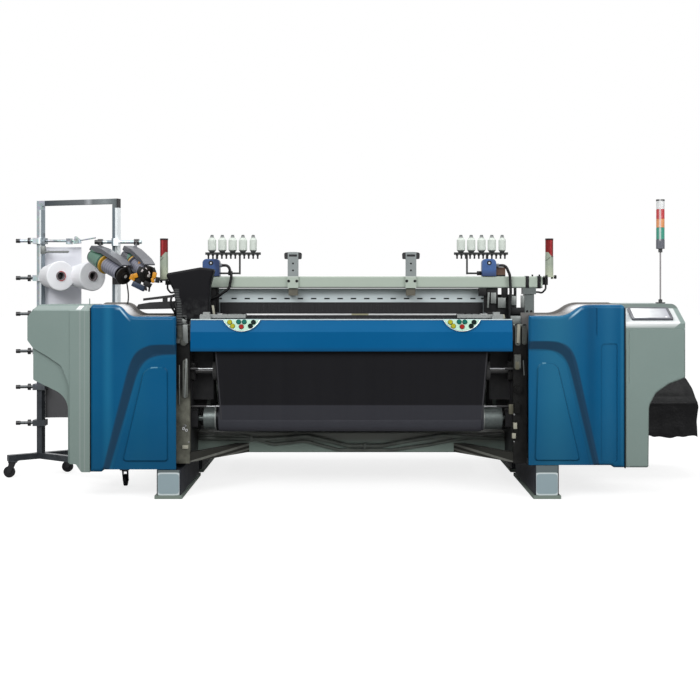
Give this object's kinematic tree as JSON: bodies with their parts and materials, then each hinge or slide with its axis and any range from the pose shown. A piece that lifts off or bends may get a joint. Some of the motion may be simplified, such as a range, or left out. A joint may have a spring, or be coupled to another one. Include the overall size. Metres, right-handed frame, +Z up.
{
  "type": "power loom",
  "caption": "rapier power loom with moulded end covers, cloth and warp on rollers, rocking reed, lifting heald frames and a wheeled yarn creel",
  "frame": {"origin": "on the floor, under the middle of the machine", "axes": "+X to the weaver's right along the reed, +Y from the cloth side to the warp side, +Z up"},
  "size_m": [4.6469, 1.896, 1.856],
  "materials": {
    "blue_cover": "smooth gloss",
    "grey_cover": "smooth gloss",
    "machine_paint": "satin paint on castings",
    "guide_paint": "satin paint",
    "blue_drive": "satin paint",
    "zinc": "zinc plated",
    "castor_rubber": "moulded",
    "panel_plastic": "satin",
    "yellow_button": "moulded",
    "green_button": "moulded",
    "red_button": "moulded",
    "black_button": "moulded",
    "screen_plastic": "satin bezel, dark glass",
    "lamp_plastic": "coloured lenses",
    "white_yarn": "wound yarn",
    "white_sheet": "thin sheet",
    "black_plastic": "moulded",
    "dust_cover": "coated cloth",
    "dark_yarn": "fine woven and parallel yarn",
    "roller_steel": "turned",
    "stave_aluminium": "extruded",
    "feeder_plastic": "moulded"
  },
  "bodies": {
    "loom": {"side_frame_left": "machine_paint", "side_frame_right": "machine_paint", "machine_feet": "machine_paint", "lower_beam": "machine_paint", "machine_cables": "black_plastic", "breast_beam": "machine_paint", "breast_cover": "blue_cover", "button_panels": "panel_plastic", "upper_girder": "machine_paint", "heald_guides": "guide_paint", "cover_end_left": "grey_cover", "cover_front_left": "blue_cover", "cover_front_right": "blue_cover", "cover_end_right": "grey_cover", "console_screen": "screen_plastic", "tower_light": "lamp_plastic", "signal_lamps": "lamp_plastic", "bobbin_racks": "zinc", "bobbins": "white_yarn", "selvedge_drives": "blue_drive", "weft_selector": "black_plastic", "warp_sheet": "dark_yarn", "cloth_sheet": "dark_yarn", "shedding_unit": "dust_cover", "creel_frame": "zinc", "yarn_cones": "white_yarn", "yarn_separator": "white_sheet", "weft_feeders": "feeder_plastic"},
    "button_left_yellow_upper": {"button_left_yellow_upper": "yellow_button"},
    "button_left_yellow_lower": {"button_left_yellow_lower": "yellow_button"},
    "button_left_green_outer": {"button_left_green_outer": "green_button"},
    "button_left_green_inner": {"button_left_green_inner": "green_button"},
    "button_left_red": {"button_left_red": "red_button"},
    "button_left_black_upper": {"button_left_black_upper": "black_button"},
    "button_left_black_lower": {"button_left_black_lower": "black_button"},
    "button_right_yellow_upper": {"button_right_yellow_upper": "yellow_button"},
    "button_right_yellow_lower": {"button_right_yellow_lower": "yellow_button"},
    "button_right_green_outer": {"button_right_green_outer": "green_button"},
    "button_right_green_inner": {"button_right_green_inner": "green_button"},
    "button_right_red": {"button_right_red": "red_button"},
    "button_right_black_upper": {"button_right_black_upper": "black_button"},
    "button_right_black_lower": {"button_right_black_lower": "black_button"},
    "castor_fork_front_left": {"castor_fork_front_left": "zinc"},
    "castor_wheel_front_left": {"castor_wheel_front_left": "castor_rubber"},
    "castor_fork_front_right": {"castor_fork_front_right": "zinc"},
    "castor_wheel_front_right": {"castor_wheel_front_right": "castor_rubber"},
    "castor_fork_back": {"castor_fork_back": "zinc"},
    "castor_wheel_back": {"castor_wheel_back": "castor_rubber"},
    "takeup_roller": {"takeup_roller": "roller_steel"},
    "cloth_roller": {"cloth_roller": "roller_steel"},
    "back_rest": {"back_rest": "roller_steel"},
    "warp_beam": {"warp_beam": "roller_steel"},
    "sley": {"sley": "roller_steel", "reed": "roller_steel"},
    "heald_frame_1": {"heald_frame_1": "stave_aluminium"},
    "heald_frame_2": {"heald_frame_2": "stave_aluminium"},
    "heald_frame_3": {"heald_frame_3": "stave_aluminium"},
    "heald_frame_4": {"heald_frame_4": "stave_aluminium"},
    "feeder_disc_1": {"feeder_disc_1": "feeder_plastic"},
    "feeder_disc_2": {"feeder_disc_2": "feeder_plastic"}
  },
  "joints": [
    {"name": "button_left_yellow_upper_press", "type": "slide", "parent": "loom", "child": "button_left_yellow_upper", "axis": [0, 0.9709, -0.2394], "range_m": [0, 0.003], "stiffness_N_per_m": 200},
    {"name": "button_left_yellow_lower_press", "type": "slide", "parent": "loom", "child": "button_left_yellow_lower", "axis": [0, 0.9709, -0.2394], "range_m": [0, 0.003], "stiffness_N_per_m": 200},
    {"name": "button_left_green_outer_press", "type": "slide", "parent": "loom", "child": "button_left_green_outer", "axis": [0, 0.9709, -0.2394], "range_m": [0, 0.003], "stiffness_N_per_m": 200},
    {"name": "button_left_green_inner_press", "type": "slide", "parent": "loom", "child": "button_left_green_inner", "axis": [0, 0.9709, -0.2394], "range_m": [0, 0.003], "stiffness_N_per_m": 200},
    {"name": "button_left_red_press", "type": "slide", "parent": "loom", "child": "button_left_red", "axis": [0, 0.9709, -0.2394], "range_m": [0, 0.003], "stiffness_N_per_m": 200},
    {"name": "button_left_black_upper_press", "type": "slide", "parent": "loom", "child": "button_left_black_upper", "axis": [0, 0.9709, -0.2394], "range_m": [0, 0.003], "stiffness_N_per_m": 200},
    {"name": "button_left_black_lower_press", "type": "slide", "parent": "loom", "child": "button_left_black_lower", "axis": [0, 0.9709, -0.2394], "range_m": [0, 0.003], "stiffness_N_per_m": 200},
    {"name": "button_right_yellow_upper_press", "type": "slide", "parent": "loom", "child": "button_right_yellow_upper", "axis": [0, 0.9709, -0.2394], "range_m": [0, 0.003], "stiffness_N_per_m": 200},
    {"name": "button_right_yellow_lower_press", "type": "slide", "parent": "loom", "child": "button_right_yellow_lower", "axis": [0, 0.9709, -0.2394], "range_m": [0, 0.003], "stiffness_N_per_m": 200},
    {"name": "button_right_green_outer_press", "type": "slide", "parent": "loom", "child": "button_right_green_outer", "axis": [0, 0.9709, -0.2394], "range_m": [0, 0.003], "stiffness_N_per_m": 200},
    {"name": "button_right_green_inner_press", "type": "slide", "parent": "loom", "child": "button_right_green_inner", "axis": [0, 0.9709, -0.2394], "range_m": [0, 0.003], "stiffness_N_per_m": 200},
    {"name": "button_right_red_press", "type": "slide", "parent": "loom", "child": "button_right_red", "axis": [0, 0.9709, -0.2394], "range_m": [0, 0.003], "stiffness_N_per_m": 200},
    {"name": "button_right_black_upper_press", "type": "slide", "parent": "loom", "child": "button_right_black_upper", "axis": [0, 0.9709, -0.2394], "range_m": [0, 0.003], "stiffness_N_per_m": 200},
    {"name": "button_right_black_lower_press", "type": "slide", "parent": "loom", "child": "button_right_black_lower", "axis": [0, 0.9709, -0.2394], "range_m": [0, 0.003], "stiffness_N_per_m": 200},
    {"name": "castor_fork_front_left_swivel", "type": "hinge", "parent": "loom", "child": "castor_fork_front_left", "pos_m": [-2.262, -0.146, 0.12], "axis": [0, 0, 1], "continuous": true},
    {"name": "castor_wheel_front_left_spin", "type": "hinge", "parent": "castor_fork_front_left", "child": "castor_wheel_front_left", "pos_m": [-2.288, -0.146, 0.038], "axis": [0, 1, 0], "continuous": true},
    {"name": "castor_fork_front_right_swivel", "type": "hinge", "parent": "loom", "child": "castor_fork_front_right", "pos_m": [-1.447, -0.495, 0.12], "axis": [0, 0, 1], "continuous": true},
    {"name": "castor_wheel_front_right_spin", "type": "hinge", "parent": "castor_fork_front_right", "child": "castor_wheel_front_right", "pos_m": [-1.447, -0.469, 0.038], "axis": [1, 0, 0], "continuous": true},
    {"name": "castor_fork_back_swivel", "type": "hinge", "parent": "loom", "child": "castor_fork_back", "pos_m": [-1.93, 0.09, 0.12], "axis": [0, 0, 1], "continuous": true},
    {"name": "castor_wheel_back_spin", "type": "hinge", "parent": "castor_fork_back", "child": "castor_wheel_back", "pos_m": [-1.956, 0.09, 0.038], "axis": [0, 1, 0], "continuous": true},
    {"name": "takeup_roller_turn", "type": "hinge", "parent": "loom", "child": "takeup_roller", "pos_m": [0, -0.76, 0.757], "axis": [1, 0, 0], "continuous": true},
    {"name": "cloth_roller_turn", "type": "hinge", "parent": "loom", "child": "cloth_roller", "pos_m": [0, -0.7, 0.46], "axis": [1, 0, 0], "continuous": true},
    {"name": "back_rest_turn", "type": "hinge", "parent": "loom", "child": "back_rest", "pos_m": [0, 0.7, 1.0095], "axis": [1, 0, 0], "continuous": true},
    {"name": "warp_beam_turn", "type": "hinge", "parent": "loom", "child": "warp_beam", "pos_m": [0, 0.46, 0.5], "axis": [1, 0, 0], "continuous": true},
    {"name": "sley_rock", "type": "hinge", "parent": "loom", "child": "sley", "pos_m": [0, -0.47, 0.42], "axis": [1, 0, 0], "range_deg": [-10, 6.5]},
    {"name": "heald_frame_1_lift", "type": "slide", "parent": "loom", "child": "heald_frame_1", "axis": [0, 0, 1], "range_m": [-0.045, 0.045]},
    {"name": "heald_frame_2_lift", "type": "slide", "parent": "loom", "child": "heald_frame_2", "axis": [0, 0, 1], "range_m": [-0.045, 0.045]},
    {"name": "heald_frame_3_lift", "type": "slide", "parent": "loom", "child": "heald_frame_3", "axis": [0, 0, 1], "range_m": [-0.045, 0.045]},
    {"name": "heald_frame_4_lift", "type": "slide", "parent": "loom", "child": "heald_frame_4", "axis": [0, 0, 1], "range_m": [-0.045, 0.045]},
    {"name": "feeder_disc_1_wind", "type": "hinge", "parent": "loom", "child": "feeder_disc_1", "pos_m": [-1.43718, -0.58855, 1.34773], "axis": [0.6559, -0.6752, -0.3376], "continuous": true},
    {"name": "feeder_disc_2_wind", "type": "hinge", "parent": "loom", "child": "feeder_disc_2", "pos_m": [-1.28117, -0.62899, 1.35285], "axis": [0.512, -0.786, -0.3465], "continuous": true}
  ],
  "couplings": [
    {"joint": "cloth_roller_turn", "follows": "takeup_roller_turn", "ratio": 0.70732},
    {"joint": "back_rest_turn", "follows": "takeup_roller_turn", "ratio": 0.96667},
    {"joint": "warp_beam_turn", "follows": "takeup_roller_turn", "ratio": 0.19333},
    {"joint": "heald_frame_2_lift", "follows": "heald_frame_1_lift", "ratio": -1},
    {"joint": "heald_frame_3_lift", "follows": "heald_frame_1_lift", "ratio": 1},
    {"joint": "heald_frame_4_lift", "follows": "heald_frame_1_lift", "ratio": -1}
  ]
}
